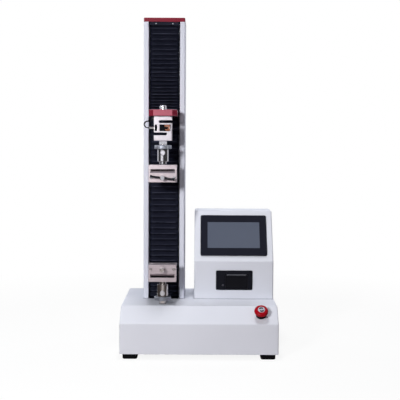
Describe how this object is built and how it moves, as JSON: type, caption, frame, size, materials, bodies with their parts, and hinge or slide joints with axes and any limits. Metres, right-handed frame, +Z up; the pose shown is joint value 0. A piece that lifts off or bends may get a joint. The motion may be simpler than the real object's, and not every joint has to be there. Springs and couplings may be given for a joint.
{
  "type": "universal testing machine",
  "caption": "Desktop single-column tensile tester: motor-driven crosshead with load cell and screw-clamp grips, pleated column bellows, and a control box with touch screen and printer.",
  "frame": {"origin": "on the floor, in the middle of the machine's footprint", "axes": "+Z up along the column, -Y towards the operator, +X to the operator's right"},
  "size_m": [0.45, 0.3634, 0.98],
  "materials": {
    "white_paint": "semi-gloss white paint",
    "red_metal": "deep red satin",
    "black_rubber": "matt",
    "bellows_cloth": "coated black cloth",
    "cast_metal": "primed casting",
    "dark_steel": "black oxide",
    "bare_aluminium": "satin",
    "bright_steel": "ground",
    "polished_steel": "polished",
    "brushed_grip": "brushed nickel",
    "black_plastic": "fine texture",
    "screen_glass": "unlit display",
    "red_plastic": "glossy",
    "cable_sheath": "grey sheath"
  },
  "bodies": {
    "frame": {"base_housing": "white_paint", "base_plate": "dark_steel", "feet": "black_rubber", "bed_casting": "cast_metal", "power_inlet": "black_plastic", "drive_motor": "dark_steel", "drive_belt": "black_rubber", "lower_bearing": "bright_steel", "upper_bearing": "bright_steel", "column_core": "bare_aluminium", "column_side_left": "white_paint", "column_side_right": "white_paint", "column_back": "white_paint", "top_cap": "red_metal", "guide_rails": "bright_steel", "bellows_upper": "bellows_cloth", "bellows_lower": "bellows_cloth", "bellows_screws": "bright_steel", "control_box_front": "white_paint", "control_box_cover": "white_paint", "panel_bezel": "black_plastic", "panel_glass": "screen_glass", "panel_back": "black_plastic", "printer_frame": "black_plastic", "estop_collar": "black_plastic", "lower_stud": "polished_steel", "lower_lock_ring": "polished_steel", "lower_socket": "polished_steel", "lower_grip_body": "brushed_grip"},
    "crosshead": {"carriage_plate": "dark_steel", "guide_blocks": "bright_steel", "ball_nut": "bright_steel", "crosshead_arm": "red_metal", "arm_bolts": "bright_steel", "load_cell": "bare_aluminium", "load_cell_screw": "bright_steel", "cable_gland": "polished_steel", "load_cell_cable": "cable_sheath", "upper_stud": "polished_steel", "upper_lock_ring": "polished_steel", "upper_socket": "polished_steel", "upper_grip_body": "brushed_grip"},
    "ball_screw": {"lead_screw": "bright_steel", "screw_pulley": "bare_aluminium"},
    "motor_shaft": {"motor_pulley": "bare_aluminium"},
    "upper_jaw": {"upper_jaw": "brushed_grip", "upper_jaw_rods": "brushed_grip"},
    "upper_screw": {"upper_clamp_screw": "brushed_grip"},
    "upper_bar": {"upper_tommy_bar": "polished_steel"},
    "upper_pin": {"upper_pin": "polished_steel"},
    "lower_jaw": {"lower_jaw": "brushed_grip", "lower_jaw_rods": "brushed_grip"},
    "lower_screw": {"lower_clamp_screw": "brushed_grip"},
    "lower_pin": {"lower_pin": "polished_steel"},
    "estop_stem": {"estop_plunger": "black_plastic"},
    "estop_head": {"estop_head": "red_plastic"},
    "printer_lid": {"printer_lid": "black_plastic"},
    "platen": {"platen_roller": "black_rubber"},
    "feed_button": {"feed_button": "black_plastic"},
    "power_rocker": {"power_rocker": "black_plastic"}
  },
  "joints": [
    {"name": "crosshead_travel", "type": "slide", "parent": "frame", "child": "crosshead", "axis": [0, 0, 1], "range_m": [-0.22, 0.15], "deforming": ["bellows_upper", "bellows_lower"]},
    {"name": "ball_screw_turn", "type": "hinge", "parent": "frame", "child": "ball_screw", "pos_m": [-0.1065, 0.038, 0.145], "axis": [0, 0, 1], "range_deg": [-5410, 7930]},
    {"name": "motor_turn", "type": "hinge", "parent": "frame", "child": "motor_shaft", "pos_m": [-0.0115, 0.038, 0.098], "axis": [0, 0, 1], "range_deg": [-5410, 7930]},
    {"name": "upper_jaw_slide", "type": "slide", "parent": "crosshead", "child": "upper_jaw", "axis": [0, 1, 0], "range_m": [0, 0.0057]},
    {"name": "upper_screw_turn", "type": "hinge", "parent": "upper_jaw", "child": "upper_screw", "pos_m": [-0.1065, -0.135, 0.512], "axis": [0, 1, 0], "range_deg": [-5, 1031]},
    {"name": "upper_pin_pull", "type": "slide", "parent": "crosshead", "child": "upper_pin", "axis": [0, -1, 0], "range_m": [0, 0.045]},
    {"name": "lower_jaw_slide", "type": "slide", "parent": "frame", "child": "lower_jaw", "axis": [0, 1, 0], "range_m": [0, 0.0057]},
    {"name": "lower_screw_turn", "type": "hinge", "parent": "lower_jaw", "child": "lower_screw", "pos_m": [-0.1065, -0.135, 0.249], "axis": [0, 1, 0], "range_deg": [-5, 1031]},
    {"name": "lower_pin_pull", "type": "slide", "parent": "frame", "child": "lower_pin", "axis": [0, -1, 0], "range_m": [0, 0.045]},
    {"name": "tommy_bar_slide", "type": "slide", "parent": "upper_screw", "child": "upper_bar", "axis": [0.9914, 0, -0.1305], "range_m": [-0.022, 0.022]},
    {"name": "estop_press", "type": "slide", "parent": "frame", "child": "estop_stem", "axis": [0, 0.652, -0.7582], "range_m": [0, 0.005], "stiffness_N_per_m": 900},
    {"name": "estop_twist", "type": "hinge", "parent": "estop_stem", "child": "estop_head", "pos_m": [0.176, -0.1533, 0.1235], "axis": [0, 0.652, -0.7582], "range_deg": [0, 45], "stiffness_Nm_per_rad": 0.05},
    {"name": "lid_open", "type": "hinge", "parent": "frame", "child": "printer_lid", "pos_m": [0.1115, -0.0175, 0.179], "axis": [1, 0, 0], "range_deg": [0, 95]},
    {"name": "platen_turn", "type": "hinge", "parent": "printer_lid", "child": "platen", "pos_m": [0.1115, -0.01, 0.2075], "axis": [1, 0, 0], "continuous": true},
    {"name": "feed_press", "type": "slide", "parent": "frame", "child": "feed_button", "axis": [0, 1, 0], "range_m": [0, 0.001], "stiffness_N_per_m": 400},
    {"name": "rocker_flip", "type": "hinge", "parent": "frame", "child": "power_rocker", "pos_m": [0.1656, 0.1752, 0.075], "axis": [1, 0, 0], "range_deg": [0, 16]}
  ],
  "couplings": [
    {"joint": "ball_screw_turn", "follows": "crosshead_travel", "rad_per_m": -628.32},
    {"joint": "motor_turn", "follows": "crosshead_travel", "rad_per_m": -628.32},
    {"joint": "upper_screw_turn", "follows": "upper_jaw_slide", "rad_per_m": 3141.6},
    {"joint": "lower_screw_turn", "follows": "lower_jaw_slide", "rad_per_m": 3141.6}
  ]
}
